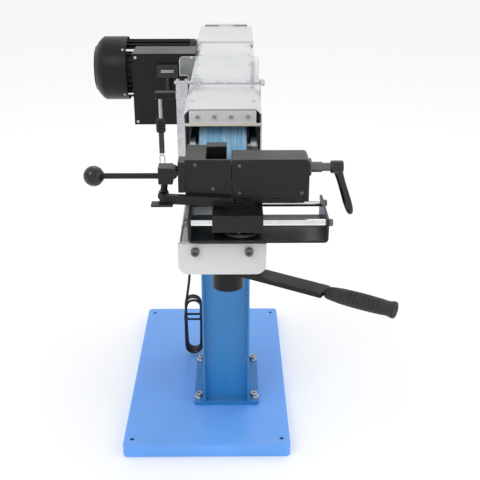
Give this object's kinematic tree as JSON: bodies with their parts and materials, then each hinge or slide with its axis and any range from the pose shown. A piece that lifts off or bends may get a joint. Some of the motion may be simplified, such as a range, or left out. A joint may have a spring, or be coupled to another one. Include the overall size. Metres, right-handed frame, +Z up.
{
  "type": "abrasive-belt tube notcher",
  "caption": "Pedestal belt grinder for notching tube ends, with a hooded horizontal belt body, a side motor and a lever-fed swivelling pipe vice.",
  "frame": {"origin": "centre of the base plate's outline at floor level", "axes": "+X to the operator's right, +Y from the operator's end to the dust outlet along the belt, +Z up"},
  "size_m": [0.7236, 1.5168, 1.052],
  "materials": {
    "blue_deck": "satin",
    "blue_column": "satin",
    "white_body": "satin",
    "grey_plate": "satin",
    "black_paint": "semi-gloss",
    "motor_grey": "painted",
    "bare_steel": "machined",
    "bright_steel": "polished",
    "zinc": "galvanised",
    "belt_cloth": "abrasive",
    "black_rubber": "matte",
    "black_plastic": "matte",
    "clear_pane": "clear",
    "bronze_bush": "machined",
    "winding": "laminated",
    "cast_vice": "painted"
  },
  "bodies": {
    "machine": {"base_plate": "blue_deck", "column": "blue_column", "pedestal_bolts": "bare_steel", "body_floor": "white_body", "side_wall_left": "white_body", "side_wall_right": "white_body", "front_plate": "grey_plate", "ten_mm_screws": "bare_steel", "hood": "white_body", "hood_strip": "zinc", "cover_screws": "bright_steel", "dust_spigot": "white_body", "rear_hinge": "zinc", "yoke_guides": "bare_steel", "abrasive_belt": "belt_cloth", "tension_spring": "bare_steel", "motor_stator": "winding", "motor_frame": "motor_grey", "motor_flange": "motor_grey", "motor_tie_rods": "bright_steel", "motor_cowl": "motor_grey", "cabinet_box": "black_paint", "cabinet_lid": "black_paint", "switch_box": "black_plastic", "cord_gland": "black_plastic", "mains_cord": "black_rubber", "cord_hank": "black_rubber", "guard_post": "zinc", "hanging_strap": "black_plastic", "shield_bracket": "zinc", "feed_rails": "bare_steel", "feed_bearing": "black_paint"},
    "motor_drive": {"motor_rotor": "bare_steel", "drive_roller": "black_rubber", "motor_fan": "black_plastic"},
    "tension_slide": {"tension_yoke": "bare_steel"},
    "idler": {"contact_roller": "black_rubber", "contact_shaft": "bright_steel"},
    "release_lever": {"tension_lever": "zinc"},
    "cover": {"rear_cover": "white_body"},
    "switch": {"switch_paddle": "black_plastic"},
    "eye_shield": {"shield_hinge": "zinc", "shield_pane": "clear_pane"},
    "hand_lever": {"feed_pinion": "bare_steel", "feed_lever": "black_paint", "feed_grip": "black_rubber"},
    "feed_slide": {"feed_carriage": "bare_steel", "slide_tray": "cast_vice", "guide_rods": "bright_steel"},
    "cross_slide": {"cross_carriage": "cast_vice", "carriage_bushes": "bronze_bush"},
    "table_lock": {"lock_wheel": "black_plastic"},
    "vice": {"vice_base": "cast_vice", "jaw_housing": "cast_vice"},
    "clamp_jaw": {"left_jaw": "cast_vice"},
    "clamp_lever": {"clamp_crank": "cast_vice", "lever_ball": "black_plastic"},
    "screw_jaw": {"jaw_insert": "bare_steel"},
    "screw": {"spindle": "bright_steel", "spindle_handle": "black_paint"}
  },
  "joints": [
    {"name": "motor_spin", "type": "hinge", "parent": "machine", "child": "motor_drive", "pos_m": [0.052, 0.375, 0.889], "axis": [1, 0, 0], "continuous": true},
    {"name": "tension_travel", "type": "slide", "parent": "machine", "child": "tension_slide", "axis": [0, 1, 0], "range_m": [0, 0.007], "stiffness_N_per_m": 2000, "springref_m": -0.01, "deforming": ["tension_spring"]},
    {"name": "idler_spin", "type": "hinge", "parent": "tension_slide", "child": "idler", "pos_m": [0.052, -0.472, 0.889], "axis": [1, 0, 0], "continuous": true},
    {"name": "release_turn", "type": "hinge", "parent": "machine", "child": "release_lever", "pos_m": [-0.03, 0.257, 0.925], "axis": [1, 0, 0], "range_deg": [0, 20.1]},
    {"name": "cover_hinge", "type": "hinge", "parent": "machine", "child": "cover", "pos_m": [0.052, 0.584, 0.989], "axis": [-1, 0, 0], "range_deg": [0, 75]},
    {"name": "switch_rock", "type": "hinge", "parent": "machine", "child": "switch", "pos_m": [-0.10744, 0.087, 0.937], "axis": [1, 0, 0], "range_deg": [-12, 12]},
    {"name": "shield_tilt", "type": "hinge", "parent": "machine", "child": "eye_shield", "pos_m": [0.052, -0.322, 0.994], "axis": [1, 0, 0], "range_deg": [-20, 90]},
    {"name": "feed_lever_turn", "type": "hinge", "parent": "machine", "child": "hand_lever", "pos_m": [0.062, -0.672, 0.7026], "axis": [0, 0, 1], "range_deg": [0, 71.6]},
    {"name": "feed_travel", "type": "slide", "parent": "machine", "child": "feed_slide", "axis": [0, 1, 0], "range_m": [0, 0.045]},
    {"name": "cross_travel", "type": "slide", "parent": "feed_slide", "child": "cross_slide", "axis": [1, 0, 0], "range_m": [-0.025, 0.06]},
    {"name": "lock_turn", "type": "hinge", "parent": "cross_slide", "child": "table_lock", "pos_m": [0.088, -0.734, 0.798], "axis": [0, 0, 1], "range_deg": [-90, 90]},
    {"name": "vice_swivel", "type": "hinge", "parent": "cross_slide", "child": "vice", "pos_m": [0.0815, -0.6855, 0.845], "axis": [0, 0, 1], "range_deg": [-45, 45]},
    {"name": "clamp_travel", "type": "slide", "parent": "vice", "child": "clamp_jaw", "axis": [1, 0, 0], "range_m": [-0.0201, 0]},
    {"name": "clamp_turn", "type": "hinge", "parent": "vice", "child": "clamp_lever", "pos_m": [-0.06, -0.708, 0.863], "axis": [0, 1, 0], "range_deg": [-25.7, 0]},
    {"name": "screw_travel", "type": "slide", "parent": "vice", "child": "screw_jaw", "axis": [1, 0, 0], "range_m": [0, 0.02]},
    {"name": "screw_turn", "type": "hinge", "parent": "screw_jaw", "child": "screw", "pos_m": [0.259, -0.69, 0.912], "axis": [1, 0, 0], "range_deg": [0, 1440.5]}
  ],
  "couplings": [
    {"joint": "idler_spin", "follows": "motor_spin", "ratio": 1.579},
    {"joint": "release_turn", "follows": "tension_travel", "rad_per_m": 50},
    {"joint": "feed_lever_turn", "follows": "feed_travel", "rad_per_m": 27.778},
    {"joint": "clamp_turn", "follows": "clamp_travel", "rad_per_m": 22.222},
    {"joint": "screw_turn", "follows": "screw_travel", "rad_per_m": 1256.6}
  ]
}
